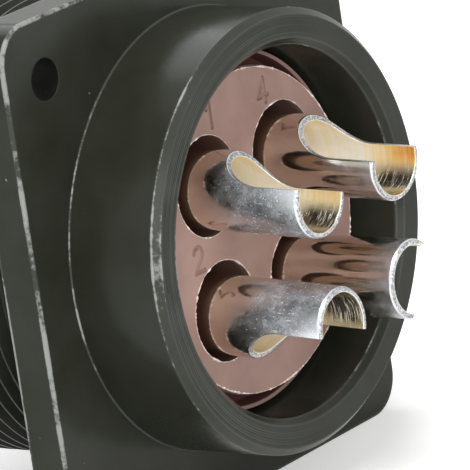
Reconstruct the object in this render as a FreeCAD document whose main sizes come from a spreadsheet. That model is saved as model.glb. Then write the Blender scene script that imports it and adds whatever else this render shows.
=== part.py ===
# Circular connector: square-flange receptacle, size 22 shell, four size 8 pins with solder cups.
# Frame: millimetres, +Z up. The origin is the centre of the screw-hole pattern on the rear face of
# the flange. The solder side looks along -Y, the threaded mating side along +Y.
# Each piece is drawn with its own z towards the solder side and y up, then turned into the frame.
import FreeCAD
import Part
import math
import os
import re
import Sketcher

doc = FreeCAD.newDocument("CircularConnector")

# Driving dimensions
dimensions = {
    # flange
    "flange_size": 41.0,
    "flange_thickness": 3.2,
    "flange_corner_radius": 3.0,
    "flange_edge_break": 0.2,
    "mount_pitch": 31.75,
    "mount_hole_diameter": 3.05,
    # rear barrel of the shell
    "rear_barrel_diameter": 33.1,
    "rear_barrel_length": 7.95,
    "rear_rim_chamfer": 0.5,
    "rear_root_fillet": 0.15,
    "rear_bore_diameter": 27.6,
    "rear_bore_chamfer": 0.5,
    # coupling barrel of the shell at the crest of its 1 3/8-18 thread
    "thread_diameter": 34.93,
    "coupling_length": 19.05,
    "relief_diameter": 32.7,
    "relief_width": 2.4,
    "thread_chamfer": 0.9,
    "coupling_bore_diameter": 30.3,
    "coupling_bore_chamfer": 0.5,
    "insert_shoulder_depth": 1.0,
    # polarising key
    "key_width": 2.9,
    "key_height": 1.2,
    "key_setback": 0.6,
    "key_clearance": 0.2,
    # stack of inserts
    "insert_clearance": 0.15,
    "rear_flange_thickness": 1.8,
    "front_flange_thickness": 1.8,
    "rear_insert_clearance": 0.3,
    "lip_top": 3.0,
    "lip_height": 1.6,
    "lip_width": 0.3,
    "boss_diameter": 24.26,
    "boss_face": 4.45,
    "moulded_edge": 0.1,
    "nose_diameter": 26.4,
    "nose_recess": 14.3,
    # wells and bores in the inserts
    "contact_pitch": 9.55,
    "well_diameter": 7.48,
    "well_floor_depth": 1.2,
    "contact_clearance": 0.06,
    "shank_clearance": 0.08,
    # washer and retaining ring
    "washer_thickness": 0.6,
    "washer_bore": 26.7,
    "ring_thickness": 1.05,
    "ring_groove_diameter": 31.9,
    "ring_groove_play": 0.1,
    "ring_bore": 28.1,
    "ring_gap": 5.6,
    # contacts
    "cup_diameter": 5.95,
    "cup_bore_diameter": 5.1,
    "cup_end": 14.9,
    "cup_bore_depth": 10.2,
    "cup_drill_point": 1.1,
    "scoop_height": 0.5,
    "scoop_flat": 3.9,
    "scoop_radius": 4.0,
    "collar_diameter": 7.0,
    "collar_thickness": 1.8,
    "shank_diameter": 4.4,
    "pin_diameter": 3.61,
    "pin_setback": 1.3,
    "pin_point": 1.1,
    "pin_tip_diameter": 1.6,
    "pin_nose_radius": 0.8,
    # turn of each solder cup about its own axis, opening measured from +X in degrees
    "cup_turn_1": 71.0,
    "cup_turn_2": -101.0,
    "cup_turn_3": -26.0,
    "cup_turn_4": 85.0,
}

sheet = doc.addObject("Spreadsheet::Sheet", "Dimensions")
for row, (name, value) in enumerate(dimensions.items(), start=1):
    sheet.set(f"A{row}", name)
    sheet.set(f"B{row}", str(value))
    sheet.setAlias(f"B{row}", name)

# Sizes worked out from the ones above
derived = {
    "coupling_front": "flange_thickness + coupling_length",
    "insert_flange_diameter": "coupling_bore_diameter - 2 * insert_clearance",
    "insert_joint": "insert_shoulder_depth + rear_flange_thickness",
    "front_flange_face": "insert_joint + front_flange_thickness",
    "washer_face": "front_flange_face + washer_thickness",
    "nose_face": "coupling_front - nose_recess",
    "rear_insert_diameter": "rear_bore_diameter - 2 * rear_insert_clearance",
    "contact_bore_diameter": "cup_diameter + 2 * contact_clearance",
    "pin_tip": "coupling_front - pin_setback",
    "key_foot": "coupling_bore_diameter / 2 - key_height",
}
for row, (name, formula) in enumerate(derived.items(), start=len(dimensions) + 1):
    sheet.set(f"A{row}", name)
    sheet.set(f"B{row}", f"={formula}")
    sheet.setAlias(f"B{row}", name)
doc.recompute()

sizes = {**dimensions, **derived}


def bound(formula):
    """A formula of plain size names, written so that any object of the document can follow it."""
    return re.sub(r"[a-z]\w*", lambda word: f"Dimensions.{word.group()}"
                  if word.group() in sizes else word.group(), str(formula))


def measure(formula):
    """The present value of a formula of size names."""
    result = sheet.evalExpression(bound(formula).replace("Dimensions.", ""))
    return float(result)


def drive(item, **formulas):
    """Binds properties of an object to formulas of the sheet."""
    for path, formula in formulas.items():
        item.setExpression(path.replace("__", "."), bound(formula))


def new_body(name):
    body = doc.addObject("PartDesign::Body", name)
    body.Label = name
    body.Placement = FreeCAD.Placement(FreeCAD.Vector(0, 0, 0), FreeCAD.Rotation(FreeCAD.Vector(1, 0, 0), 90))
    return body


def origin_part(body, role):
    return next(item for item in body.Origin.OriginFeatures if item.Role == role)


def new_sketch(body, name, role="XZ_Plane", lift=None):
    """A sketch on one of the body's own planes, lifted off it by a formula."""
    sketch = body.newObject("Sketcher::SketchObject", name)
    sketch.AttachmentSupport = [(origin_part(body, role), "")]
    sketch.MapMode = "FlatFace"
    if lift is not None:
        drive(sketch, AttachmentOffset__Base__z=lift)
    return sketch


def tie(sketch, line, end, across, along):
    """Ties one end of a line or arc to the sketch origin by two sizes."""
    for kind, formula in (("DistanceX", across), ("DistanceY", along)):
        index = sketch.addConstraint(Sketcher.Constraint(kind, -1, 1, line, end, measure(formula)))
        sketch.setExpression(f"Constraints[{index}]", bound(formula))


def outline(sketch, corners):
    """A closed chain of lines through corners given as pairs of formulas."""
    places = [FreeCAD.Vector(measure(across), measure(along), 0) for across, along in corners]
    count = len(corners)
    first = sketch.GeometryCount
    for number in range(count):
        sketch.addGeometry(Part.LineSegment(places[number], places[(number + 1) % count]), False)
    for number, (across, along) in enumerate(corners):
        following = first + (number + 1) % count
        sketch.addConstraint(Sketcher.Constraint("Coincident", first + number, 2, following, 1))
        tie(sketch, first + number, 1, across, along)


def circle(sketch, across, along, diameter):
    """A circle tied to the sketch origin, its diameter bound to a formula."""
    centre = FreeCAD.Vector(measure(across), measure(along), 0)
    index = sketch.addGeometry(Part.Circle(centre, FreeCAD.Vector(0, 0, 1), measure(diameter) / 2), False)
    tie(sketch, index, 3, across, along)
    size = sketch.addConstraint(Sketcher.Constraint("Diameter", index, measure(diameter)))
    sketch.setExpression(f"Constraints[{size}]", bound(diameter))


def turned(body, name, corners, kind="PartDesign::Revolution"):
    """Turns a half section about the body's own z axis, adding or cutting."""
    sketch = new_sketch(body, name + "Section")
    outline(sketch, corners)
    doc.recompute()
    feature = body.newObject(kind, name)
    feature.Profile = sketch
    feature.ReferenceAxis = (sketch, ["V_Axis"])
    feature.Angle = 360
    doc.recompute()
    return feature


def pocket(body, name, sketch, depth=None):
    """Cuts a sketch down to a depth, or right through both ways when no depth is given."""
    feature = body.newObject("PartDesign::Pocket", name)
    feature.Profile = sketch
    if depth is None:
        feature.Type = "ThroughAll"
        feature.Midplane = True
    else:
        drive(feature, Length=depth)
    doc.recompute()
    return feature


def round_the_axis(body, name, feature, count):
    """Repeats a feature evenly about the body's z axis."""
    pattern = body.newObject("PartDesign::PolarPattern", name)
    pattern.Originals = [feature]
    pattern.Axis = (origin_part(body, "Z_Axis"), [""])
    pattern.Angle = 360
    pattern.Occurrences = count
    body.Tip = pattern
    doc.recompute()
    return pattern


def dress(body, kind, name, size, wanted):
    """Chamfers or fillets every edge of the body's tip for which wanted(edge) holds."""
    base = body.Tip
    edges = [f"Edge{number}" for number, edge in enumerate(base.Shape.Edges, start=1) if wanted(edge)]
    feature = body.newObject(kind, name)
    feature.Base = (base, edges)
    drive(feature, **{"Radius" if kind.endswith("Fillet") else "Size": size})
    doc.recompute()
    return feature


def block(body, kind, name, width, low, high, back, front):
    """A box across the 12 o'clock position: width along x, low to high along y, back to front in z."""
    feature = body.newObject(kind, name)
    drive(feature, Length=width, Width=f"({high}) - ({low})", Height=f"({back}) - ({front})")
    drive(feature, AttachmentOffset__Base__x=f"-({width}) / 2", AttachmentOffset__Base__y=low,
          AttachmentOffset__Base__z=front)
    feature.AttachmentSupport = [(origin_part(body, "XY_Plane"), "")]
    feature.MapMode = "FlatFace"
    doc.recompute()
    return feature


def notch_for_key(body, name, high, back, front):
    """The keyway that lets a piece of the insert stack pass over the polarising key."""
    return block(body, "PartDesign::SubtractiveBox", name, "key_width + 2 * key_clearance",
                 "key_foot - key_clearance", high, back, front)


def ring_of_holes(body, name, diameter, level=None, depth=None):
    """Four equal holes on the contact pattern, cut from one level down to a depth."""
    sketch = new_sketch(body, name + "Place", "XY_Plane", level)
    circle(sketch, "contact_pitch / 2", "contact_pitch / 2", diameter)
    doc.recompute()
    hole = pocket(body, name, sketch, depth)
    return round_the_axis(body, name + "Pattern", hole, 4)


# Contact positions as seen from the solder side, numbered anticlockwise from the upper left
places = {
    1: ("-contact_pitch / 2", "contact_pitch / 2"),
    2: ("-contact_pitch / 2", "-contact_pitch / 2"),
    3: ("contact_pitch / 2", "-contact_pitch / 2"),
    4: ("contact_pitch / 2", "contact_pitch / 2"),
}

# Shell: flange, rear barrel and coupling barrel in one piece
shell = new_body("shell")
turned(shell, "Barrels", [
    ("0", "rear_barrel_length"),
    ("rear_barrel_diameter / 2 - rear_rim_chamfer", "rear_barrel_length"),
    ("rear_barrel_diameter / 2", "rear_barrel_length - rear_rim_chamfer"),
    ("rear_barrel_diameter / 2", "-flange_thickness / 2"),
    ("relief_diameter / 2", "-flange_thickness / 2"),
    ("relief_diameter / 2", "-(flange_thickness + relief_width)"),
    ("thread_diameter / 2 - thread_chamfer", "-(flange_thickness + relief_width)"),
    ("thread_diameter / 2", "-(flange_thickness + relief_width + thread_chamfer)"),
    ("thread_diameter / 2", "-(coupling_front - thread_chamfer)"),
    ("thread_diameter / 2 - thread_chamfer", "-coupling_front"),
    ("0", "-coupling_front"),
])
flange_outline = new_sketch(shell, "FlangeOutline", "XY_Plane")
outline(flange_outline, [
    ("-flange_size / 2", "-flange_size / 2"),
    ("flange_size / 2", "-flange_size / 2"),
    ("flange_size / 2", "flange_size / 2"),
    ("-flange_size / 2", "flange_size / 2"),
])
doc.recompute()
flange = shell.newObject("PartDesign::Pad", "Flange")
flange.Profile = flange_outline
flange.Reversed = True
drive(flange, Length="flange_thickness")
doc.recompute()
corner = measure("flange_size / 2")
dress(shell, "PartDesign::Fillet", "FlangeCorners", "flange_corner_radius",
      lambda edge: len(edge.Vertexes) == 2 and abs(edge.CenterOfMass.x) > corner - 0.01
      and abs(edge.CenterOfMass.y) > corner - 0.01)
dress(shell, "PartDesign::Chamfer", "FlangeEdges", "flange_edge_break",
      lambda edge: len(edge.Vertexes) == 2 and abs(edge.Vertexes[0].Z - edge.Vertexes[1].Z) < 0.01
      and all(max(abs(end.X), abs(end.Y)) > corner - 0.01 for end in edge.Vertexes))
root = measure("rear_barrel_diameter / 2")
dress(shell, "PartDesign::Fillet", "RearRoot", "rear_root_fillet",
      lambda edge: hasattr(edge.Curve, "Radius") and abs(edge.Curve.Radius - root) < 0.01
      and abs(edge.CenterOfMass.z) < 0.01)
turned(shell, "Bore", [
    ("0", "rear_barrel_length + 1"),
    ("rear_bore_diameter / 2 + rear_bore_chamfer", "rear_barrel_length + 1"),
    ("rear_bore_diameter / 2 + rear_bore_chamfer", "rear_barrel_length"),
    ("rear_bore_diameter / 2", "rear_barrel_length - rear_bore_chamfer"),
    ("rear_bore_diameter / 2", "-insert_shoulder_depth"),
    ("coupling_bore_diameter / 2", "-insert_shoulder_depth"),
    ("coupling_bore_diameter / 2", "-washer_face"),
    ("ring_groove_diameter / 2", "-washer_face"),
    ("ring_groove_diameter / 2", "-(washer_face + ring_thickness + ring_groove_play)"),
    ("coupling_bore_diameter / 2", "-(washer_face + ring_thickness + ring_groove_play)"),
    ("coupling_bore_diameter / 2", "-(coupling_front - coupling_bore_chamfer)"),
    ("coupling_bore_diameter / 2 + coupling_bore_chamfer", "-coupling_front"),
    ("coupling_bore_diameter / 2 + coupling_bore_chamfer", "-(coupling_front + 1)"),
    ("0", "-(coupling_front + 1)"),
], "PartDesign::Groove")
screw_place = new_sketch(shell, "ScrewPlace", "XY_Plane")
circle(screw_place, "mount_pitch / 2", "mount_pitch / 2", "mount_hole_diameter")
doc.recompute()
screw_hole = pocket(shell, "ScrewHole", screw_place)
round_the_axis(shell, "ScrewHoles", screw_hole, 4)
block(shell, "PartDesign::AdditiveBox", "Key", "key_width", "key_foot",
      "(coupling_bore_diameter + ring_groove_diameter) / 4 + 0.4", "-insert_shoulder_depth",
      "-(coupling_front - key_setback)")

# Rear insert: boss, groove with its sealing lip and the flange held in the shell
rear_insert = new_body("rear_insert")
turned(rear_insert, "Moulding", [
    ("0", "boss_face"),
    ("boss_diameter / 2 - moulded_edge", "boss_face"),
    ("boss_diameter / 2", "boss_face - moulded_edge"),
    ("boss_diameter / 2", "lip_top - lip_height"),
    ("rear_insert_diameter / 2 - lip_width", "lip_top - lip_height"),
    ("rear_insert_diameter / 2 - lip_width", "lip_top"),
    ("rear_insert_diameter / 2", "lip_top"),
    ("rear_insert_diameter / 2", "-insert_shoulder_depth"),
    ("insert_flange_diameter / 2", "-insert_shoulder_depth"),
    ("insert_flange_diameter / 2", "-insert_joint"),
    ("0", "-insert_joint"),
])
notch_for_key(rear_insert, "Keyway", "coupling_bore_diameter / 2", "-insert_shoulder_depth", "-insert_joint")
ring_of_holes(rear_insert, "Well", "well_diameter", "boss_face", "boss_face + well_floor_depth")
ring_of_holes(rear_insert, "ContactBore", "contact_bore_diameter")

# Front insert: rigid disc with a nose, the collars of the contacts sunk in its rear face
front_insert = new_body("front_insert")
turned(front_insert, "Disc", [
    ("0", "-insert_joint"),
    ("insert_flange_diameter / 2", "-insert_joint"),
    ("insert_flange_diameter / 2", "-front_flange_face"),
    ("nose_diameter / 2", "-front_flange_face"),
    ("nose_diameter / 2", "-(nose_face - moulded_edge)"),
    ("nose_diameter / 2 - moulded_edge", "-nose_face"),
    ("0", "-nose_face"),
])
notch_for_key(front_insert, "Keyway", "coupling_bore_diameter / 2", "-insert_joint", "-front_flange_face")
ring_of_holes(front_insert, "CollarSeat", "collar_diameter + 2 * contact_clearance", "-insert_joint",
              "collar_thickness")
ring_of_holes(front_insert, "ShankBore", "shank_diameter + 2 * shank_clearance")

# Washer between the front insert and the retaining ring
washer = new_body("insert_washer")
turned(washer, "Disc", [
    ("washer_bore / 2", "-front_flange_face"),
    ("insert_flange_diameter / 2", "-front_flange_face"),
    ("insert_flange_diameter / 2", "-washer_face"),
    ("washer_bore / 2", "-washer_face"),
])
notch_for_key(washer, "Keyway", "coupling_bore_diameter / 2", "-front_flange_face", "-washer_face")

# Retaining ring, open at the key
snap_ring = new_body("snap_ring")
turned(snap_ring, "Ring", [
    ("ring_bore / 2", "-washer_face"),
    ("(ring_groove_diameter - ring_groove_play) / 2", "-washer_face"),
    ("(ring_groove_diameter - ring_groove_play) / 2", "-(washer_face + ring_thickness)"),
    ("ring_bore / 2", "-(washer_face + ring_thickness)"),
])
block(snap_ring, "PartDesign::SubtractiveBox", "Gap", "ring_gap", "0", "ring_groove_diameter",
      "-washer_face", "-(washer_face + ring_thickness)")


def turn_of_cup(number):
    """Stands a contact upright in the frame with its solder cup open towards its own angle."""
    stand = FreeCAD.Rotation(FreeCAD.Vector(1, 0, 0), 90)
    spin = FreeCAD.Rotation(FreeCAD.Vector(0, 0, 1), measure(f"cup_turn_{number}") - 90)
    return stand.multiply(spin)


def contact(number):
    """One turned contact: pin, collar and solder cup with its open half scooped away."""
    body = new_body(f"contact_{number}")
    turned(body, "Turning", [
        ("0", "cup_end"),
        ("cup_diameter / 2", "cup_end"),
        ("cup_diameter / 2", "-insert_joint"),
        ("collar_diameter / 2", "-insert_joint"),
        ("collar_diameter / 2", "-(insert_joint + collar_thickness)"),
        ("shank_diameter / 2", "-(insert_joint + collar_thickness)"),
        ("shank_diameter / 2", "-nose_face"),
        ("pin_diameter / 2", "-nose_face"),
        ("pin_diameter / 2", "-(pin_tip - pin_point)"),
        ("pin_tip_diameter / 2", "-pin_tip"),
        ("0", "-pin_tip"),
    ])
    shank = measure("pin_diameter / 2")
    dress(body, "PartDesign::Fillet", "PinNose", "pin_nose_radius",
          lambda edge: hasattr(edge.Curve, "Radius") and abs(edge.Curve.Radius - shank) < 0.01
          and edge.CenterOfMass.z < -measure("nose_face") - 0.01)
    turned(body, "CupBore", [
        ("0", "cup_end + 1"),
        ("cup_bore_diameter / 2", "cup_end + 1"),
        ("cup_bore_diameter / 2", "cup_end - cup_bore_depth"),
        ("0", "cup_end - cup_bore_depth - cup_drill_point"),
    ], "PartDesign::Groove")
    side = new_sketch(body, "ScoopSide", "YZ_Plane")
    top = "scoop_height + scoop_radius"
    start = "cup_end - scoop_flat"
    corners = [("scoop_height", start), ("scoop_height", "cup_end + 1"), (top, "cup_end + 1"),
               (top, f"{start} - scoop_radius")]
    points = [FreeCAD.Vector(measure(across), measure(along), 0) for across, along in corners]
    for first, second in zip(points, points[1:]):
        side.addGeometry(Part.LineSegment(first, second), False)
    centre = FreeCAD.Vector(points[3].x, points[0].y, 0)
    sweep = Part.Circle(centre, FreeCAD.Vector(0, 0, 1), measure("scoop_radius"))
    side.addGeometry(Part.ArcOfCircle(sweep, math.pi, 1.5 * math.pi), False)
    for line in range(3):
        tie(side, line, 1, *corners[line])
    tie(side, 2, 2, *corners[3])
    side.addConstraint(Sketcher.Constraint("Coincident", 0, 2, 1, 1))
    side.addConstraint(Sketcher.Constraint("Coincident", 1, 2, 2, 1))
    side.addConstraint(Sketcher.Constraint("Coincident", 3, 1, 0, 1))
    side.addConstraint(Sketcher.Constraint("Coincident", 3, 2, 2, 2))
    radius = side.addConstraint(Sketcher.Constraint("Radius", 3, measure("scoop_radius")))
    side.setExpression(f"Constraints[{radius}]", bound("scoop_radius"))
    doc.recompute()
    pocket(body, "Scoop", side)
    across, along = places[number]
    body.Placement = FreeCAD.Placement(FreeCAD.Vector(0, 0, 0), turn_of_cup(number))
    drive(body, Placement__Base__x=across, Placement__Base__z=along)
    return body


for number in places:
    contact(number)
doc.recompute()

# Every object has to be sound before anything is written
for item in doc.Objects:
    if "Invalid" in item.State or "Error" in item.State:
        raise RuntimeError(f"{item.Label} is {item.State}")

os.makedirs("parts", exist_ok=True)
for body in doc.findObjects("PartDesign::Body"):
    if body.Shape.isNull() or not body.Shape.isValid() or len(body.Shape.Solids) != 1:
        raise RuntimeError(f"{body.Label} is not one sound solid")
    body.Shape.exportStep(f"parts/{body.Label}.step")
    print(f"{body.Label}: {body.Shape.Volume:.1f} mm3")
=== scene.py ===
import functools
import math

import bmesh
import bpy
from mathutils import Matrix, Vector


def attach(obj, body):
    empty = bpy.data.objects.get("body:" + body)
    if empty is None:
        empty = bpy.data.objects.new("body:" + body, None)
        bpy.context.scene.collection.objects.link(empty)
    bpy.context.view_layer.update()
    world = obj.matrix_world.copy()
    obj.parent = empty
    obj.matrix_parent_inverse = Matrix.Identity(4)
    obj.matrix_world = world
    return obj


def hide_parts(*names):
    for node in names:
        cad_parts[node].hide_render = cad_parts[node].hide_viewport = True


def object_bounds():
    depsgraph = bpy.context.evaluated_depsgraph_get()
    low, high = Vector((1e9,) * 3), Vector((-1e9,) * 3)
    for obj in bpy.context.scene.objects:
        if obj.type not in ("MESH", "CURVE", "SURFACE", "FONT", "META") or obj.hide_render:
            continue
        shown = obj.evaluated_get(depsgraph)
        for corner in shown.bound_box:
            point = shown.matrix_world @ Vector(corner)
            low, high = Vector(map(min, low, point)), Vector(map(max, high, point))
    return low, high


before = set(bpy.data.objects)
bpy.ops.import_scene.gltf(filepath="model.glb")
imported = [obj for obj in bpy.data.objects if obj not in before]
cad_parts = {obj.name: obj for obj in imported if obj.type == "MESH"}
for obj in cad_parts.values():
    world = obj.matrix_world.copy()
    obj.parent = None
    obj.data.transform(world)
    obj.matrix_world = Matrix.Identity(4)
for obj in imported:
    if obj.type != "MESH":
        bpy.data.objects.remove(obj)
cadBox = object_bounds()
print("frame loaded")

# Shapes are drawn in millimetres on a bench: z runs along the connector's axis towards the solder
# side, x to the right and y up as seen from there. benchToFrame stands them up in metres.
mm = 0.001
benchToFrame = Matrix.Scale(mm, 4) @ Matrix.Rotation(math.radians(90), 4, "X")
around = 192  # columns in a large turned surface
weld = 0.0005  # points closer than this are one


# Node tools

def linear(hexColour):
    # sRGB hex, as a paint chart gives it, to the linear values that a shader wants
    parts = [int(hexColour[i:i + 2], 16) / 255 for i in (1, 3, 5)]
    return [p / 12.92 if p <= 0.04045 else ((p + 0.055) / 1.055) ** 2.4 for p in parts] + [1]


def addNode(tree, kind, inputs=(), operation=None, **settings):
    # a shader node's kind goes without ShaderNode in front. settings are the node's own properties, and
    # inputs go by name, or as a list in Blender's order, each a value, a hex colour, or what feeds it
    node = tree.nodes.new(kind if kind.startswith(("Geometry", "NodeGroup")) else "ShaderNode" + kind)
    if operation:
        node.operation = operation
    for name, value in settings.items():
        setattr(node, name, value)
    for name, value in inputs.items() if isinstance(inputs, dict) else enumerate(inputs):
        if isinstance(value, bpy.types.Node):
            value = next(output for output in value.outputs if output.enabled)
        if isinstance(value, bpy.types.NodeSocket):
            tree.links.new(value, node.inputs[name])
        elif value is not None:
            node.inputs[name].default_value = linear(value) if isinstance(value, str) else value
    return node


def newMaterial(name):
    # an empty material, what adds nodes to it, and object coordinates in millimetres for its patterns.
    # A noise multiplies its seed by its scale, so seeds are put in the same measure, divided by mm.
    material = bpy.data.materials.new(name)
    material.use_nodes = True
    material.node_tree.nodes.clear()
    add = functools.partial(addNode, material.node_tree)
    place = add("VectorMath", {0: add("TexCoord").outputs["Object"], "Scale": 1 / mm}, "SCALE")
    return material, add, place


def distance(add, across, up):
    # the long side of a right angle with these two short ones
    squares = [add("Math", [side, side], "MULTIPLY") for side in (across, up)]
    return add("Math", [add("Math", squares, "ADD")], "SQRT")


def turnedPlace(add, place, centre, radianMm):
    # a place as distance from an axis, depth towards the solder side and angle, and as one vector in
    # which a radian counts for radianMm, so that a fine noise on it runs out into rings
    moved = add("Mapping", {"Vector": place, "Location": (-centre[0], 0, -centre[1])})
    x, y, z = add("SeparateXYZ", [moved]).outputs
    radius = distance(add, x, z)
    depth = add("Math", [y, -1.0], "MULTIPLY")
    angle = add("Math", [z, x], "ARCTAN2")
    arc = add("Math", [angle, radianMm], "MULTIPLY")
    return radius, depth, angle, add("CombineXYZ", [radius, y, arc])


def newTree(name, sizes):
    # an empty Geometry Nodes tree with named inputs, what adds nodes to it, and its inputs
    tree = bpy.data.node_groups.new(name, "GeometryNodeTree")
    tree.interface.new_socket("Geometry", in_out="OUTPUT", socket_type="NodeSocketGeometry")
    for size, value in sizes.items():
        kind = "NodeSocketInt" if isinstance(value, int) else "NodeSocketFloat"
        tree.interface.new_socket(size, in_out="INPUT", socket_type=kind).default_value = value
    add = functools.partial(addNode, tree)
    return tree, add, add("NodeGroupInput").outputs


def closeTree(add, geometry, material):
    real = add("GeometryNodeRealizeInstances", [geometry])
    add("NodeGroupOutput", [add("GeometryNodeSetMaterial", {"Geometry": real, "Material": material})])


# Mesh tools

def roundedPath(corners, steps=3, guard=0.0):
    # a half section as (radius, depth, rounding) corners, with an arc put in at each rounded corner and,
    # where a guard is given, a ring a little before and after it that keeps its wear to itself
    path = []
    for index, (radius, depth, rounding) in enumerate(corners):
        here = Vector((radius, depth))
        if rounding == 0:
            path.append(here)
            continue
        back = (Vector(corners[index - 1][:2]) - here).normalized()
        ahead = (Vector(corners[(index + 1) % len(corners)][:2]) - here).normalized()
        half = back.angle(ahead) / 2
        centre = here + (back + ahead).normalized() * (rounding / math.sin(half))
        start = here + back * (rounding / math.tan(half)) - centre
        sweep = math.pi - 2 * half
        turn = 1 if start.x * ahead.y - start.y * ahead.x > 0 else -1
        if guard:
            path.append(centre + start + back * guard)
        for step in range(steps + 1):
            part = turn * sweep * step / steps
            path.append(centre + Vector((start.x * math.cos(part) - start.y * math.sin(part),
                                         start.x * math.sin(part) + start.y * math.cos(part))))
        if guard:
            path.append(path[-1] + ahead * guard)
    return path


def evenTurn(count):
    return [2 * math.pi * k / count for k in range(count)]


def lathe(bm, path, angles, closed=False):
    # turns a half section about the bench's z axis, and gives its rings of vertices
    rings = []
    for radius, depth in path:
        if radius < 1e-6:
            rings.append([bm.verts.new((0, 0, depth))])
        else:
            rings.append([bm.verts.new((radius * math.cos(a), radius * math.sin(a), depth)) for a in angles])
    count = len(angles)
    pairs = list(zip(rings, rings[1:])) + ([(rings[-1], rings[0])] if closed else [])
    for lower, upper in pairs:
        for k in range(count):
            following = (k + 1) % count
            corners = [lower[k % len(lower)], lower[following % len(lower)],
                       upper[following % len(upper)], upper[k % len(upper)]]
            bm.faces.new(list(dict.fromkeys(corners)))
    return rings


def fillBetween(bm, rings):
    # a flat face between an outer ring and the rings of its holes
    pairs = [pair for ring in rings for pair in zip(ring, ring[1:] + ring[:1])]
    edges = [bm.edges.get(pair) or bm.edges.new(pair) for pair in pairs]
    bmesh.ops.triangle_fill(bm, use_beauty=True, edges=edges)


def circleAt(bm, centre, radius, depth, count):
    return [bm.verts.new((centre[0] + radius * math.cos(a), centre[1] + radius * math.sin(a), depth))
            for a in evenTurn(count)]


def bridge(bm, rings):
    # walls between closed rings of as many points each
    for lower, upper in zip(rings, rings[1:]):
        for k in range(len(lower)):
            following = (k + 1) % len(lower)
            bm.faces.new((lower[k], lower[following], upper[following], upper[k]))


def patch(bm, rows):
    # a grid of points as quads, corners that coincide merged later
    grid = [[bm.verts.new(point) for point in row] for row in rows]
    for lower, upper in zip(grid, grid[1:]):
        for k in range(len(lower) - 1):
            bm.faces.new((lower[k], lower[k + 1], upper[k + 1], upper[k]))


def closeMesh(bm):
    # points that coincide become one, slivers go, and faces point outwards
    bmesh.ops.remove_doubles(bm, verts=bm.verts, dist=weld)
    bmesh.ops.dissolve_degenerate(bm, dist=weld / 5, edges=bm.edges)
    bmesh.ops.recalc_face_normals(bm, faces=bm.faces)


def benchObject(name, bm):
    mesh = bpy.data.meshes.new(name)
    bm.to_mesh(mesh)
    bm.free()
    item = bpy.data.objects.new(name, mesh)
    bpy.context.scene.collection.objects.link(item)
    return item


def settle(item):
    # an object's modifiers made its plain mesh
    evaluated = item.evaluated_get(bpy.context.evaluated_depsgraph_get())
    mesh = bpy.data.meshes.new_from_object(evaluated)
    item.modifiers.clear()
    item.data = mesh
    return item


def grow(name, tree, sizes):
    # runs a Geometry Nodes tree on an empty mesh, its inputs set by identifier
    item = benchObject(name, bmesh.new())
    nodes = item.modifiers.new(name, "NODES")
    nodes.node_group = tree
    for socket in tree.interface.items_tree:
        if socket.in_out == "INPUT":
            nodes[socket.identifier] = sizes[socket.name]
    return settle(item)


def boxTool(low, high):
    bm = bmesh.new()
    bmesh.ops.create_cube(bm, size=1.0)
    size = Vector(high) - Vector(low)
    bmesh.ops.transform(bm, matrix=Matrix.Translation((Vector(low) + Vector(high)) / 2) @
                        Matrix.Diagonal((*size, 1)), verts=bm.verts)
    return benchObject("tool", bm)


def carve(item, tools, operation="DIFFERENCE", overlapping=False):
    # adds or takes away solids, each of which is then gone
    for tool in tools:
        change = item.modifiers.new("carve", "BOOLEAN")
        change.operation, change.object, change.solver = operation, tool, "EXACT"
        change.use_self = overlapping
    settle(item)
    for tool in tools:
        bpy.data.objects.remove(tool)


def finishPiece(item, material, nodes, sharpAngle=38):
    # crisp edges stay crisp, broad faces keep their true shading, and the piece stands in the frame
    item.data.materials.clear()
    item.data.materials.append(material)
    item.data.polygons.foreach_set("material_index", [0] * len(item.data.polygons))
    item.data.polygons.foreach_set("use_smooth", [True] * len(item.data.polygons))
    item.data.set_sharp_from_angle(angle=math.radians(sharpAngle))
    even = item.modifiers.new("even", "WEIGHTED_NORMAL")
    even.mode, even.weight, even.keep_sharp = "FACE_AREA", 80, True
    settle(item)
    item.data.transform(benchToFrame)
    item.data.update()
    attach(item, "root")
    if nodes:
        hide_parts(*nodes)
    print(f"{item.name}: {len(item.data.polygons)} faces")


# Shell

shellSizes = {
    "flange": 41.0, "thickness": 3.2, "corner": 3.0, "edgeBreak": 0.2,
    "screwPitch": 31.75, "screwHole": 3.05, "screwEdge": 0.12,
    "barrel": 33.1, "barrelLength": 7.95, "rimChamfer": 0.5, "rimRound": 0.07, "rootFillet": 0.15,
    "bore": 27.6, "boreChamfer": 0.5, "boreRound": 0.1, "sharp": 0.05,
    "crest": 34.93, "front": 22.25, "relief": 32.7, "reliefWidth": 2.4, "threadChamfer": 0.9,
    "pitch": 25.4 / 18, "threadDepth": 0.6134 * 25.4 / 18,
    "couplingBore": 30.3, "couplingChamfer": 0.5, "couplingRound": 0.08, "shoulder": 1.0,
    "groove": 31.9, "grooveTop": 5.2, "grooveFoot": 6.35,
    "keyWidth": 2.9, "keyHeight": 1.2, "keyEnd": 21.65,
    # how far each corner is rubbed, from the root of the barrel to its mouth, and how wide
    "wear": {"root": 0.45, "rim": 1.0, "rimEnd": 0.5, "mouthEnd": 0.5, "mouth": 1.4, "chamfer": 0.3,
             "flange": 0.6},
    "wearReach": 0.1, "wearWidth": 0.12,
}
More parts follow.
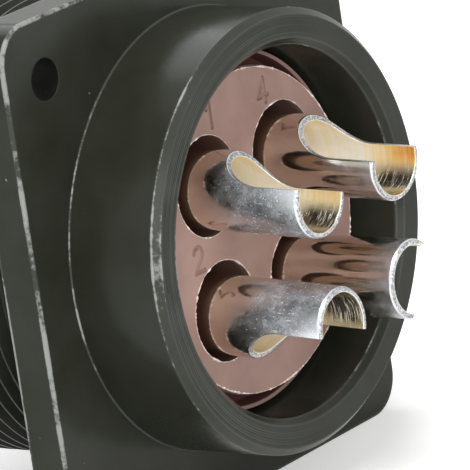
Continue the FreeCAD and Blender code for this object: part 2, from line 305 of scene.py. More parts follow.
# in the looks, pairs say where a mask starts and ends, and a second pair its values there
platingLook = {
    "base": "#292b23", "thin": "#34362f", "cloudMm": 6.0, "cloud": (0.35, 0.75), "roughness": (0.17, 0.26),
    "sheen": 0.13,
    "bare": "#b4b7b2", "handledSide": (-0.97, 0.0, 0.25), "handled": (9.0, 15.5, -0.12, 0.07),
    "patchMm": 5.0, "patchShare": 0.62, "flakeMm": 0.45, "cornerWear": (0.0, 2.0, -0.16, 0.16),
    "rubbed": (0.46, 0.54, 0.05, 0.62), "chipMm": 0.55, "chips": (0.79, 0.82, 0.0, 0.55),
    # the tone of the rings is a painted highlight on the lit side of the rim
    "rimFrom": 7.0, "ringHighlight": "#474943", "ringUnevenness": (0.4, 0.6, -0.8, 0.8),
    "ringSide": (-6.0, 6.0, 0.0, 0.7), "markSide": (-10.0, 4.0, 0.4, 1.0),
    "barrelMarks": 0.06, "boreMarks": 0.35,
    # near black for the painted shade inside the screw holes
    "shadedHoleWall": "#0c0d0a", "drilledRoughness": 0.65,
    # turned rings and blasted grain, two to three times as coarse as the real ones, which wouldn't show
    "feedMm": 0.2, "toolMarkMm": 0.15, "toolMarkDepthMm": 0.022, "radianMm": 0.15,
    "grainMm": 0.22, "grainDepthMm": 0.002, "rippleMm": 0.55, "rippleDepthMm": 0.007,
}


def makePlating(s=shellSizes, look=platingLook):
    # zinc-cobalt plate with olive drab chromate on turned aluminium: near black, satin, faintly green,
    # rubbed to bare metal along the corners, most on the side that is handled
    material, add, place = newMaterial("oliveDrabPlating")
    radius, depth, _, turned = turnedPlace(add, place, (0, 0), look["radianMm"])
    cloud = add("TexNoise", [place, 0.0, 1 / look["cloudMm"], 4.0, 0.6], noise_dimensions="4D")
    grain = add("TexNoise", [place, 3.0 / mm, 1 / look["grainMm"], 2.0, 0.6], noise_dimensions="4D")
    thin = add("MapRange", [cloud, *look["cloud"]])
    colour = add("Mix", {0: thin, 6: look["base"], 7: look["thin"]}, data_type="RGBA")
    # rubbed corners: how far each is worn, in patches and flakes, and more where hands reach it
    wear = add("Attribute", attribute_name="wear").outputs["Fac"]
    side = add("VectorMath", [place, look["handledSide"]], "DOT_PRODUCT").outputs["Value"]
    patches = add("TexNoise", [place, 5.0 / mm, 1 / look["patchMm"], 2.0, 0.5], noise_dimensions="4D")
    flakes = add("TexNoise", [place, 8.0 / mm, 1 / look["flakeMm"], 4.0, 0.7], noise_dimensions="4D")
    spread = add("Mix", [look["patchShare"], None, flakes, patches])
    for source, mask in ((side, "handled"), (wear, "cornerWear")):
        more = add("MapRange", [source, *look[mask]])
        spread = add("Math", [spread, more], "ADD")
    corners = add("MapRange", [wear, 0.0, 0.4])
    rubbed = add("MapRange", [spread, *look["rubbed"]])
    rubbed = add("Math", [rubbed, corners], "MULTIPLY")
    chips = add("TexNoise", [place, 11.0 / mm, 1 / look["chipMm"], 1.0, 0.5], noise_dimensions="4D")
    chips = add("MapRange", [chips, *look["chips"]])
    rubbed = add("Math", [rubbed, chips], "MAXIMUM")
    # the tool's rings on the end of the barrel are real, and their lighter tone, only on the side towards the
    # key light, is a painted highlight
    marks = add("TexNoise", [turned, 7.0 / mm, 1 / look["toolMarkMm"], 1.0, 0.5], noise_dimensions="4D")
    facing = add("SeparateXYZ", [add("NewGeometry").outputs["Normal"]]).outputs[1]
    endOn = add("Math", [facing], "ABSOLUTE")
    nearRim = add("MapRange", [depth, look["rimFrom"] - 0.5, look["rimFrom"]])
    endOn = add("Math", [endOn, nearRim], "MULTIPLY")
    rings = add("Math", [radius, 2 * math.pi / look["feedMm"]], "MULTIPLY")
    rings = add("Math", [rings], "SINE")
    uneven = add("MapRange", [marks, *look["ringUnevenness"]])
    rings = add("Math", [rings, uneven], "ADD")
    lit = add("MapRange", [rings, 0.0, 0.9])
    for source, mask in ((endOn, (0.8, 0.95)), (side, look["ringSide"])):
        lit = add("Math", [lit, add("MapRange", [source, *mask])], "MULTIPLY")
    colour = add("Mix", {0: lit, 6: colour, 7: look["ringHighlight"]}, data_type="RGBA")
    # the walls of the screw holes are rougher, as the drill left them, and painted near black as painted
    # shade inside the holes
    sides = add("SeparateXYZ", [place]).outputs
    sides = [add("Math", [sides[axis]], "ABSOLUTE") for axis in (0, 2)]
    sides = [add("Math", [side, s["screwPitch"] / 2], "SUBTRACT") for side in sides]
    wall = s["screwHole"] / 2
    shadedHoleWall = add("MapRange", [distance(add, *sides), wall + 0.04, wall + 0.02])
    colour = add("Mix", {0: shadedHoleWall, 6: colour, 7: look["shadedHoleWall"]}, data_type="RGBA")
    colour = add("Mix", {0: rubbed, 6: colour, 7: look["bare"]}, data_type="RGBA")
    rough = add("MapRange", [grain, 0.3, 0.7, *look["roughness"]])
    shadedHoleWall = add("Math", [shadedHoleWall, look["drilledRoughness"]], "MULTIPLY")
    rough = add("Math", [rough, shadedHoleWall], "MAXIMUM")
    # relief in millimetres
    mouth = s["bore"] / 2
    inBore = add("MapRange", [radius, mouth + 0.1, mouth + 0.5, look["boreMarks"], look["barrelMarks"]])
    onEnd = add("MapRange", [endOn, 0.3, 0.9])
    onEnd = add("Math", [onEnd, add("MapRange", [side, *look["markSide"]])], "MULTIPLY")
    strength = add("Math", [inBore, onEnd], "MAXIMUM")
    marks = add("Math", [marks, strength], "MULTIPLY")
    ripple = add("TexNoise", [place, 14.0 / mm, 1 / look["rippleMm"], 2.0, 0.5], noise_dimensions="4D")
    height = 0.0
    for pattern, deep in ((marks, "toolMarkDepthMm"), (grain, "grainDepthMm"), (ripple, "rippleDepthMm")):
        height = add("Math", [pattern, look[deep], height], "MULTIPLY_ADD")
    add("OutputMaterial", [add("BsdfPrincipled", {
        "Base Color": colour, "Roughness": rough, "Specular IOR Level": look["sheen"],
        "Normal": add("Bump", {"Height": height, "Distance": mm})})])
    return material


def threadTree(material, sizes):
    # Geometry Nodes: a sheet of quads rolled into a barrel whose rows follow the helix
    tree, add, given = newTree("threadedBarrel", sizes)
    perTurn = 8  # rows in one pitch: the edges of crest and root fall on rows
    spare = 1.3  # pitches beyond the length, so that the sheet's ends lie past it all round
    span = add("Math", [given["High"], given["Low"]], "SUBTRACT")
    turns = add("Math", [span, given["Pitch"]], "DIVIDE")
    rows = add("Math", [turns, perTurn, spare * perTurn], "MULTIPLY_ADD")
    rows = add("Math", [rows], "CEIL")
    sheet = add("GeometryNodeMeshGrid", {
        "Size X": 1.0, "Size Y": 1.0,
        "Vertices X": add("Math", [given["Columns"], 1.0], "ADD"),
        "Vertices Y": add("Math", [rows, 1.0], "ADD")})
    across, along, _ = add("SeparateXYZ", [add("GeometryNodeInputPosition")]).outputs
    turn = add("Math", [across, 0.5], "ADD")
    along = add("Math", [along, 0.5], "ADD")
    row = add("Math", [add("Math", [along, rows], "MULTIPLY")], "ROUND")
    share = add("Math", [add("Math", [row, 0.5], "SUBTRACT"), perTurn], "DIVIDE")
    pitches = add("Math", [add("Math", [share, 1.0], "SUBTRACT"), turn], "ADD")
    depth = add("Math", [given["Pitch"], pitches, given["Low"]], "MULTIPLY_ADD")
    depth = add("Clamp", [depth, given["Low"], given["High"]])
    # a flat crest and root, each an eighth of a pitch wide, with straight flanks between them
    phase = add("Math", [share], "FRACT")
    fromRoot = add("Math", [add("Math", [phase, 0.5], "SUBTRACT")], "ABSOLUTE")
    fall = add("MapRange", [fromRoot, 0.4375, 0.0625])
    fall = add("Math", [given["Depth"], fall], "MULTIPLY")
    radius = add("Math", [given["Crest Radius"], fall], "SUBTRACT")
    # the ends are chamfered
    fromEnd = add("Math", [add("Math", [depth, given["Low"]], "SUBTRACT"),
                           add("Math", [given["High"], depth], "SUBTRACT")], "MINIMUM")
    chamfer = add("Math", [given["End Radius"], fromEnd], "ADD")
    radius = add("Math", [radius, chamfer], "MINIMUM")
    angle = add("Math", [turn, 2 * math.pi], "MULTIPLY")
    sides = [add("Math", [radius, add("Math", [angle], way)], "MULTIPLY") for way in ("COSINE", "SINE")]
    rolled = add("GeometryNodeSetPosition", {"Geometry": sheet.outputs["Mesh"],
                                             "Position": add("CombineXYZ", [*sides, depth])})
    joined = add("GeometryNodeMergeByDistance", {"Geometry": rolled, "Distance": weld})
    closeTree(add, joined, material)
    return tree


def roundedSquare(half, corner, steps=10):
    points = []
    for quarter in range(4):
        centre = Matrix.Rotation(math.radians(90 * quarter), 2) @ Vector((half - corner, half - corner))
        for step in range(steps + 1):
            a = math.radians(90 * quarter + 90 * step / steps)
            points.append(centre + Vector((math.cos(a), math.sin(a))) * corner)
    return points


def markWear(bm, s):
    # how far the plating is rubbed on each corner, kept on its points for the material
    layer = bm.verts.layers.float.new("wear")
    barrel, bore, end = s["barrel"] / 2, s["bore"] / 2, s["barrelLength"]
    corners = {"root": (barrel, 0),
               "rim": (barrel, end - s["rimChamfer"]), "rimEnd": (barrel - s["rimChamfer"], end),
               "mouthEnd": (bore + s["boreChamfer"], end), "mouth": (bore, end - s["boreChamfer"])}
    near = 0.01
    for vert in bm.verts:
        spot = Vector((vert.co.xy.length, vert.co.z))
        gaps = {name: (spot - Vector(corner)).length for name, corner in corners.items()}
        rubbed = [s["wear"][name] for name, gap in gaps.items() if gap < s["wearReach"]]
        if gaps["rim"] + gaps["rimEnd"] < s["rimChamfer"] * math.sqrt(2) + 3 * near:
            rubbed.append(s["wear"]["chamfer"])
        past = [max(0, abs(along) - s["flange"] / 2 + s["corner"]) for along in vert.co.xy]
        fromSide = s["corner"] - math.hypot(*past)
        fromFace = min(abs(vert.co.z), abs(vert.co.z + s["thickness"]))
        if max(fromSide, fromFace) < s["edgeBreak"] + near:
            rubbed.append(s["wear"]["flange"])
        vert[layer] = max(rubbed, default=0.0)


def makeShell(material, s=shellSizes):
    bm = bmesh.new()
    half = {key: s[key] / 2 for key in ("barrel", "bore", "crest", "relief", "couplingBore", "groove")}
    foot = -s["thickness"] - s["reliefWidth"]
    endRadius = half["crest"] - s["threadChamfer"]
    path = roundedPath([
        (half["barrel"] + 1, 0, 0),
        (half["barrel"], 0, s["rootFillet"]),
        (half["barrel"], s["barrelLength"] - s["rimChamfer"], s["rimRound"]),
        (half["barrel"] - s["rimChamfer"], s["barrelLength"], s["sharp"]),
        (half["bore"] + s["boreChamfer"], s["barrelLength"], s["sharp"]),
        (half["bore"], s["barrelLength"] - s["boreChamfer"], s["boreRound"]),
        (half["bore"], -s["shoulder"], 0),
        (half["couplingBore"], -s["shoulder"], 0),
        (half["couplingBore"], -s["grooveTop"], s["sharp"]),
        (half["groove"], -s["grooveTop"], 0),
        (half["groove"], -s["grooveFoot"], 0),
        (half["couplingBore"], -s["grooveFoot"], s["sharp"]),
        (half["couplingBore"], -(s["front"] - s["couplingChamfer"]), s["couplingRound"]),
        (half["couplingBore"] + s["couplingChamfer"], -s["front"], s["sharp"]),
        (endRadius, -s["front"], 0),
        (endRadius, foot, 0),
        (half["relief"], foot, 0),
        (half["relief"], -s["thickness"], 0),
    ], 3, s["wearWidth"])[1:]
    rings = lathe(bm, path, evenTurn(around))
    # flange plate: outline and edge break, screw holes, and its two faces
    outlines = [(s["edgeBreak"] + s["wearWidth"], 0)]
    for degrees in (0, 30, 60, 90):
        a = math.radians(degrees)
        outlines.append((s["edgeBreak"] * (1 - math.sin(a)), -s["edgeBreak"] * (1 - math.cos(a))))
    outlines.append((0, -s["edgeBreak"] - s["wearWidth"]))
    levels = outlines + [(inset, -s["thickness"] - depth) for inset, depth in reversed(outlines)]
    loops = [[bm.verts.new((*point, depth)) for point in
              roundedSquare(s["flange"] / 2 - inset, s["corner"] - inset)] for inset, depth in levels]
    bridge(bm, loops)
    edge = s["screwEdge"]
    mouth = [(edge, 0), (edge * 0.3, -edge * 0.3), (0, -edge)]
    mouth += [(extra, -s["thickness"] - depth) for extra, depth in reversed(mouth)]
    holes = []
    for x in (-1, 1):
        for y in (-1, 1):
            centre = (x * s["screwPitch"] / 2, y * s["screwPitch"] / 2)
            hole = [circleAt(bm, centre, s["screwHole"] / 2 + extra, depth, 64) for extra, depth in mouth]
            bridge(bm, hole)
            holes.append(hole)
    for end in (0, -1):
        fillBetween(bm, [loops[end], rings[end], *(hole[end] for hole in holes)])
    closeMesh(bm)
    item = benchObject("shellBody", bm)
    # the polarising key stands on the wall of the coupling bore, sunk a little into the metal
    keyFoot, sunk = half["couplingBore"] - s["keyHeight"], 0.2
    key = boxTool((-s["keyWidth"] / 2, keyFoot, -s["keyEnd"]),
                  (s["keyWidth"] / 2, half["groove"] + 0.3, -s["shoulder"] + sunk))
    carve(item, [key], "UNION")
    # the plain band between relief and front gives way to the thread
    threadSizes = {"Crest Radius": half["crest"], "End Radius": endRadius, "Low": -s["front"], "High": foot,
                   "Pitch": s["pitch"], "Depth": s["threadDepth"], "Columns": around}
    thread = grow("thread", threadTree(material, threadSizes), threadSizes)
    bm = bmesh.new()
    bm.from_mesh(item.data)
    middles = [(face, face.calc_center_median()) for face in bm.faces]
    band = [face for face, middle in middles if abs(middle.xy.length - endRadius) < 0.05
            and middle.z < foot - 0.01 and abs(face.normal.z) < 0.5 and face.normal.xy.dot(middle.xy) > 0]
    bmesh.ops.delete(bm, geom=band, context="FACES")
    bm.from_mesh(thread.data)
    bpy.data.objects.remove(thread)
    bmesh.ops.remove_doubles(bm, verts=bm.verts, dist=weld)
    bmesh.ops.recalc_face_normals(bm, faces=bm.faces)
    markWear(bm, s)
    bm.to_mesh(item.data)
    bm.free()
    finishPiece(item, material, ["shell"])


# Inserts

rearSizes = {
    "flange": 30.0, "flangeTop": -1.0, "joint": -2.8, "body": 27.0, "lipTop": 3.0, "lipHeight": 1.6,
    "lipWidth": 0.3, "boss": 24.26, "bossRound": 0.06, "face": 4.45,
    "pitch": 9.55, "well": 7.48, "wellFloor": -1.2, "bore": 6.07,
    "numeralHeight": 1.85, "numeralWidth": 1.2, "stroke": 0.42, "numeralDepth": 0.28,
    "numerals": {1: (-3.3, 9.75), 2: (-7.15, -0.15), 3: (7.15, -0.15), 4: (3.3, 9.75)},
}
frontSizes = {
    "disc": 30.0, "joint": -2.8, "discFoot": -4.6, "nose": 26.4, "noseFace": -7.95,
    "pitch": 9.55, "seat": 7.12, "seatFloor": -4.6, "bore": 4.56,
    "numeralHeight": 1.5, "numeralWidth": 0.95, "stroke": 0.24, "numeralDepth": 0.16,
    "numerals": {1: (-3.3, 9.75), 2: (-7.9, -0.35), 3: (7.9, -0.35), 4: (3.3, 9.75)},
}
keyway = {"width": 3.3, "foot": 13.75, "reach": 30.0}
# each noise is given by its seed, size in millimetres, detail and roughness
rubberLook = {
    # the groove and well tones are painted shade in the insert's recesses
    "base": "#96776f", "other": "#ac8d84", "dust": "#d2bdb2", "groove": "#6a423c", "well": "#5f4036",
    "cloud": (0.0, 5.0, 3.0, 0.55), "tones": (0.35, 0.7), "roughness": (0.3, 0.7, 0.50, 0.63), "sheen": 0.4,
    # dust and the mould's pebbled grain, each about twice as coarse as the real one, which wouldn't show
    "dustMm": 0.22, "dusty": (0.72, 0.78, 0.0, 0.5), "grain": (9.0, 0.12, 3.0, 0.6), "grainDepthMm": 0.004,
}
resinLook = {
    "base": "#94756d", "other": "#a18178",
    "cloud": (1.0, 4.0, 3.0, 0.55), "tones": (0.35, 0.7), "roughness": (0.3, 0.7, 0.37, 0.50), "sheen": 0.5,
    # the same grain, as coarse
    "grain": (2.0, 0.15, 3.0, 0.6), "grainDepthMm": 0.003,
}
flashLook = {
    "base": "#fff4ec", "cloudMm": 0.4, "roughness": 0.6, "sheen": 0.4,
    "insideBoss": 0.03, "outsideWell": 0.04, "sunk": 0.02,
    "Bead": 0.16, "Ragged": 0.1, "Step": 0.07, "Seed": 3,
}


def cloudedSurface(add, place, grainPlace, look):
    # two tones and two degrees of gloss that drift into each other, and a fine relief
    seed, sizeMm, detail, coarse = look["cloud"]
    cloud = add("TexNoise", [place, seed / mm, 1 / sizeMm, detail, coarse], noise_dimensions="4D")
    tones = add("MapRange", [cloud, *look["tones"]])
    colour = add("Mix", {0: tones, 6: look["base"], 7: look["other"]}, data_type="RGBA")
    rough = add("MapRange", [cloud, *look["roughness"]])
    seed, sizeMm, detail, coarse = look["grain"]
    grain = add("TexNoise", [grainPlace, seed / mm, 1 / sizeMm, detail, coarse], noise_dimensions="4D")
    relief = add("Bump", {"Height": grain, "Distance": look["grainDepthMm"] * mm})
    return colour, {"Roughness": rough, "Normal": relief}


def makeRubber(s=rearSizes, look=rubberLook):
    # compression-moulded synthetic rubber insert: matt pinkish brown with a little dust, with painted shade
    # that makes its deep groove dark red and darkens its wells with depth
    material, add, place = newMaterial("pinkBrownRubber")
    colour, surface = cloudedSurface(add, place, place, look)
    dust = add("TexNoise", [place, 4.0 / mm, 1 / look["dustMm"], 2.0, 0.5], noise_dimensions="4D")
    dust = add("MapRange", [dust, *look["dusty"]])
    radius, depth = turnedPlace(add, place, (0, 0), 0.0)[:2]
    boss, lip, face = s["boss"] / 2, s["lipTop"], s["face"]
    # painted shade: the deep groove outside the boss, below the lip top, is coloured dark red
    groove = add("Math", [add("MapRange", [radius, boss + 0.02, boss + 0.2]),
                          add("MapRange", [depth, lip - 0.03, lip - 0.2])], "MULTIPLY")
    # painted shade: the walls of the wells darken with depth below the face
    well = add("Math", [add("MapRange", [radius, boss, boss + 0.02, 1.0, 0.0]),
                        add("MapRange", [depth, face - 0.1, face - 0.8, 0.0, 0.85])], "MULTIPLY")
    for amount, tone in ((dust, "dust"), (well, "well"), (groove, "groove")):
        colour = add("Mix", {0: amount, 6: colour, 7: look[tone]}, data_type="RGBA")
    add("OutputMaterial", [add("BsdfPrincipled", {
        "Base Color": colour, "Specular IOR Level": look["sheen"], **surface})])
    return material


def makeResin(look=resinLook):
    # rigid moulded front insert: the same pinkish brown, harder and a little glossier
    material, add, place = newMaterial("mouldedResin")
    colour, surface = cloudedSurface(add, place, place, look)
    add("OutputMaterial", [add("BsdfPrincipled", {
        "Base Color": colour, "Specular IOR Level": look["sheen"], **surface})])
    return material


def arcPoints(centre, across, up, start, end, steps=14):
    return [(centre[0] + across * math.cos(math.radians(start + (end - start) * k / steps)),
             centre[1] + up * math.sin(math.radians(start + (end - start) * k / steps)))
            for k in range(steps + 1)]


# strokes of the contact numbers in a box one wide and one high
upperBowl = arcPoints((0.47, 0.75), 0.38, 0.25, 150, -80, 12)
numeralStrokes = {
    1: [[(0.22, 0.78), (0.55, 1.0)], [(0.55, 1.0), (0.55, 0.0)]],
    2: [arcPoints((0.5, 0.73), 0.42, 0.27, 165, -35) + [(0.05, 0.0)], [(0.05, 0.0), (0.97, 0.0)]],
    3: [upperBowl, [upperBowl[-1], *arcPoints((0.47, 0.26), 0.45, 0.26, 70, -150, 13)]],
    4: [[(0.74, 0.0), (0.74, 1.0)], [(0.74, 1.0), (0.02, 0.28)], [(0.02, 0.28), (1.02, 0.28)]],
}


def numeralTool(number, s, level, mirrored=1):
    # a round cutter run along the strokes of a number, standing half sunk in a face
    centre = s["numerals"][number]
    curve = bpy.data.curves.new("numeral", "CURVE")
    curve.dimensions, curve.bevel_depth, curve.bevel_resolution = "3D", s["stroke"] / 2, 3
    curve.use_fill_caps = True
    bm = bmesh.new()
    ends = []
    for stroke in numeralStrokes[number]:
        points = [Vector((centre[0] + mirrored * (x - 0.5) * s["numeralWidth"],
                          centre[1] + (y - 0.5) * s["numeralHeight"], level)) for x, y in stroke]
        line = curve.splines.new("POLY")
        line.points.add(len(points) - 1)
        for knot, point in zip(line.points, points):
            knot.co = (*point, 1)
        ends += [tuple(points[0]), tuple(points[-1])]
    for place in dict.fromkeys(ends):
        bmesh.ops.create_icosphere(bm, subdivisions=2, radius=s["stroke"] / 2 * 1.002,
                                   matrix=Matrix.Translation(place))
    item = bpy.data.objects.new("numeral", curve)
    bpy.context.scene.collection.objects.link(item)
    mesh = bpy.data.meshes.new_from_object(item.evaluated_get(bpy.context.evaluated_depsgraph_get()))
    bpy.data.objects.remove(item)
    bm.from_mesh(mesh)
    bmesh.ops.remove_doubles(bm, verts=bm.verts, dist=weld)
    bmesh.ops.recalc_face_normals(bm, faces=bm.faces)
    return benchObject("numeral", bm)


def contactPlaces(pitch):
    return {1: (-pitch / 2, pitch / 2), 2: (-pitch / 2, -pitch / 2),
            3: (pitch / 2, -pitch / 2), 4: (pitch / 2, pitch / 2)}


def holesThrough(bm, places, path, count=96):
    # walls of the same turned hole at each contact, its first and last rings given back
    holes = [[circleAt(bm, centre, radius, depth, count) for radius, depth in path] for centre in places]
    for rings in holes:
        bridge(bm, rings)
    return [rings[0] for rings in holes], [rings[-1] for rings in holes]


def cutKeyway(item, low, high):
    # the slot that the shell's key slides in, open at the rim
    side = keyway["width"] / 2
    carve(item, [boxTool((-side, keyway["foot"], low - 1), (side, keyway["reach"], high + 1))])


def makeRearInsert(material, s=rearSizes):
    bm = bmesh.new()
    path = roundedPath([
        (s["boss"] / 2, s["face"], s["bossRound"]),
        (s["boss"] / 2, s["lipTop"] - s["lipHeight"], 0.08),
        (s["body"] / 2 - s["lipWidth"], s["lipTop"] - s["lipHeight"], 0.05),
        (s["body"] / 2 - s["lipWidth"], s["lipTop"], 0.05),
        (s["body"] / 2, s["lipTop"], 0.08),
        (s["body"] / 2, s["flangeTop"], 0),
        (s["flange"] / 2, s["flangeTop"], 0.1),
        (s["flange"] / 2, s["joint"], 0),
    ])
    path[0] = Vector((s["boss"] / 2 - s["bossRound"], s["face"]))
    outer = lathe(bm, path, evenTurn(around))
    hole = roundedPath([
        (s["well"] / 2 + 1, s["face"], 0),
        (s["well"] / 2, s["face"], 0.07),
        (s["well"] / 2, s["wellFloor"], 0.15),
        (s["bore"] / 2, s["wellFloor"], 0.05),
        (s["bore"] / 2, s["joint"], 0),
    ])[1:]
    top, foot = holesThrough(bm, contactPlaces(s["pitch"]).values(), hole)
    fillBetween(bm, [outer[0], *top])
    fillBetween(bm, [outer[-1], *foot])
    closeMesh(bm)
    item = benchObject("rearInsertMoulding", bm)
    level = s["face"] - s["numeralDepth"] + s["stroke"] / 2
    cutKeyway(item, s["joint"], s["flangeTop"])
    carve(item, [numeralTool(number, s, level) for number in s["numerals"]], overlapping=True)
    finishPiece(item, material, ["rear_insert"], 50)


def flashTree(material, sizes):
    # Geometry Nodes: a ragged bead of moulding flash on the edge of the boss and on the rim of each well
    tree, add, given = newTree("mouldingFlash", sizes)
    circles = []
    for name in ("Well Radius", "Boss Radius"):
        steps = add("Math", [given[name], 2 * math.pi], "MULTIPLY")
        steps = add("Math", [steps, given["Step"]], "DIVIDE")
        circles.append(add("GeometryNodeCurvePrimitiveCircle", {"Resolution": steps, "Radius": given[name]}))
    grid = add("GeometryNodeMeshGrid", {"Size X": given["Pitch"], "Size Y": given["Pitch"],
                                        "Vertices X": 2, "Vertices Y": 2})
    wells = add("GeometryNodeInstanceOnPoints", {"Points": grid, "Instance": circles[0]})
    rings = add("GeometryNodeJoinGeometry", [add("GeometryNodeRealizeInstances", [wells])])
    tree.links.new(circles[1].outputs["Curve"], rings.inputs[0])
    # the bead wanders a little, and is thick in patches and tufts
    spot = add("GeometryNodeInputPosition")
    noises = []
    for scale, apart in ((3.0, 0.3), (0.7, 5.1), (5.0, 9.7)):
        seed = add("Math", [given["Seed"], apart], "ADD")
        noises.append(add("TexNoise", [spot, seed, scale, 3.0], noise_dimensions="4D"))
    shift = add("VectorMath", [noises[0].outputs["Color"], (0.5, 0.5, 0.5)], "SUBTRACT")
    shift = add("VectorMath", {0: shift, "Scale": given["Ragged"]}, "SCALE")
    moved = add("GeometryNodeSetPosition", {"Geometry": rings, "Offset": shift})
    patches = add("MapRange", [noises[1], 0.42, 0.58])
    tufts = add("MapRange", [noises[2], 0.35, 0.75, 0.12])
    thick = add("Math", [patches, tufts], "MULTIPLY")
    thick = add("Math", [thick, 0.15], "MAXIMUM")
    thick = add("Math", [given["Bead"], thick], "MULTIPLY")
    section = add("GeometryNodeCurvePrimitiveCircle", {"Resolution": 6, "Radius": 1.0})
    swept = add("GeometryNodeCurveToMesh", {"Curve": moved, "Profile Curve": section, "Scale": thick})
    closeTree(add, swept, material)
    return tree


def makeFlash(s=rearSizes, look=flashLook):
    # thin rubber squeezed out at the mould's joints, pale where it is torn; its near-white colour is partly a
    # painted highlight along the rims of the boss and the wells
    material, add, place = newMaterial("flashAndEdgeHighlight")
    cloud = add("TexNoise", [place, 0.0, 1 / look["cloudMm"], 3.0, 0.6], noise_dimensions="4D")
    torn = add("MapRange", [cloud, 0.45, 0.7])
    colour = add("Mix", {0: torn, 6: look["base"], 7: rubberLook["other"]}, data_type="RGBA")
    add("OutputMaterial", [add("BsdfPrincipled", {
        "Base Color": colour, "Roughness": look["roughness"], "Specular IOR Level": look["sheen"]})])
    sizes = {"Boss Radius": s["boss"] / 2 - look["insideBoss"],
             "Well Radius": s["well"] / 2 + look["outsideWell"], "Pitch": s["pitch"],
             **{name: look[name] for name in ("Bead", "Ragged", "Step", "Seed")}}
    item = grow("insertFlash", flashTree(material, sizes), sizes)
    item.data.transform(Matrix.Translation((0, 0, s["face"] - look["sunk"])))
    finishPiece(item, material, [])


def makeFrontInsert(material, s=frontSizes):
    bm = bmesh.new()
    path = roundedPath([
        (s["disc"] / 2, s["joint"], 0),
        (s["disc"] / 2, s["discFoot"], 0.1),
        (s["nose"] / 2, s["discFoot"], 0.1),
        (s["nose"] / 2, s["noseFace"], 0.1),
        (s["nose"] / 2 - 1, s["noseFace"], 0),
    ])[:-1]
    outer = lathe(bm, path, evenTurn(around))
    hole = roundedPath([
        (s["bore"] / 2 + 1, s["noseFace"], 0),
        (s["bore"] / 2, s["noseFace"], 0.08),
        (s["bore"] / 2, s["seatFloor"], 0),
        (s["seat"] / 2, s["seatFloor"], 0),
        (s["seat"] / 2, s["joint"], 0),
    ])[1:]
    front, back = holesThrough(bm, contactPlaces(s["pitch"]).values(), hole)
    fillBetween(bm, [outer[-1], *front])
    fillBetween(bm, [outer[0], *back])
    closeMesh(bm)
    item = benchObject("frontInsertMoulding", bm)
    level = s["noseFace"] + s["numeralDepth"] - s["stroke"] / 2
    cutKeyway(item, s["discFoot"], s["joint"])
    carve(item, [numeralTool(number, s, level, -1) for number in s["numerals"]], overlapping=True)
    finishPiece(item, material, ["front_insert"], 50)


# Washer and retaining ring

ringSizes = {
    "washerBore": 26.7, "washer": 30.0, "top": -4.6, "joint": -5.2, "washerRound": 0.06,
    "ringBore": 28.1, "ring": 31.8, "foot": -6.25, "ringRound": 0.08, "gap": 5.6,
}
springLook = {
    "base": "#8d8d8f", "other": "#7a7774",
    "cloud": (0.0, 2.5, 3.0, 0.5), "tones": (0.4, 0.7), "roughness": (0.3, 0.7, 0.26, 0.40), "radianMm": 1.0,
    # the rolled grain, some four times as coarse as the real one, which wouldn't show
    "grain": (0.0, 0.08, 2.0, 0.5), "grainDepthMm": 0.003,
}


def makeSpringSteel(look=springLook):
    # blued-off spring steel strip: plain grey metal with a fine rolled grain
    material, add, place = newMaterial("springSteel")
    turned = turnedPlace(add, place, (0, 0), look["radianMm"])[3]
    colour, surface = cloudedSurface(add, place, turned, look)
    add("OutputMaterial", [add("BsdfPrincipled", {
        "Base Color": colour, "Metallic": 1.0, **surface})])
    return material


def flatRing(name, bore, rim, top, foot, rounding):
    bm = bmesh.new()
    corners = [(bore / 2, top), (rim / 2, top), (rim / 2, foot), (bore / 2, foot)]
    path = roundedPath([(*corner, rounding) for corner in corners])
    lathe(bm, path, evenTurn(around), closed=True)
    closeMesh(bm)
    return benchObject(name, bm)


def makeWasher(material, s=ringSizes):
    item = flatRing("washer", s["washerBore"], s["washer"], s["top"], s["joint"], s["washerRound"])
    cutKeyway(item, s["joint"], s["top"])
    finishPiece(item, material, ["insert_washer"])


def makeSnapRing(material, s=ringSizes):
    item = flatRing("retainingRing", s["ringBore"], s["ring"], s["joint"], s["foot"], s["ringRound"])
    carve(item, [boxTool((-s["gap"] / 2, 0, s["foot"] - 1), (s["gap"] / 2, s["ring"], s["joint"] + 1))])
    finishPiece(item, material, ["snap_ring"])


# Contacts

# cup, bore, collar, shank, pin and tip are radii, and turn and lean are each contact's own
contactSizes = {
    "cup": 2.975, "bore": 2.55, "end": 14.9, "boreFoot": 4.7, "drillPoint": 3.6,
    "cut": 0.5, "flatFoot": 11.0, "sweep": 4.0, "edge": 0.05, "endBevel": 0.13, "endBevelLength": 0.2,
    "joint": -2.8, "collar": 3.5, "collarFoot": -4.6, "shank": 2.2, "noseFace": -7.95,
    "pin": 1.805, "pinTip": -20.95, "pinPoint": 1.1, "tip": 0.8, "noseRadius": 0.8,
    "turn": {1: 72.5, 2: -99.5, 3: -26.0, 4: 86.0},
    "hinge": -1.2, "lean": {1: (-0.50, -0.40), 2: (-0.05, -0.75), 3: (-0.15, 0.0), 4: (-0.42, -0.38)},
}
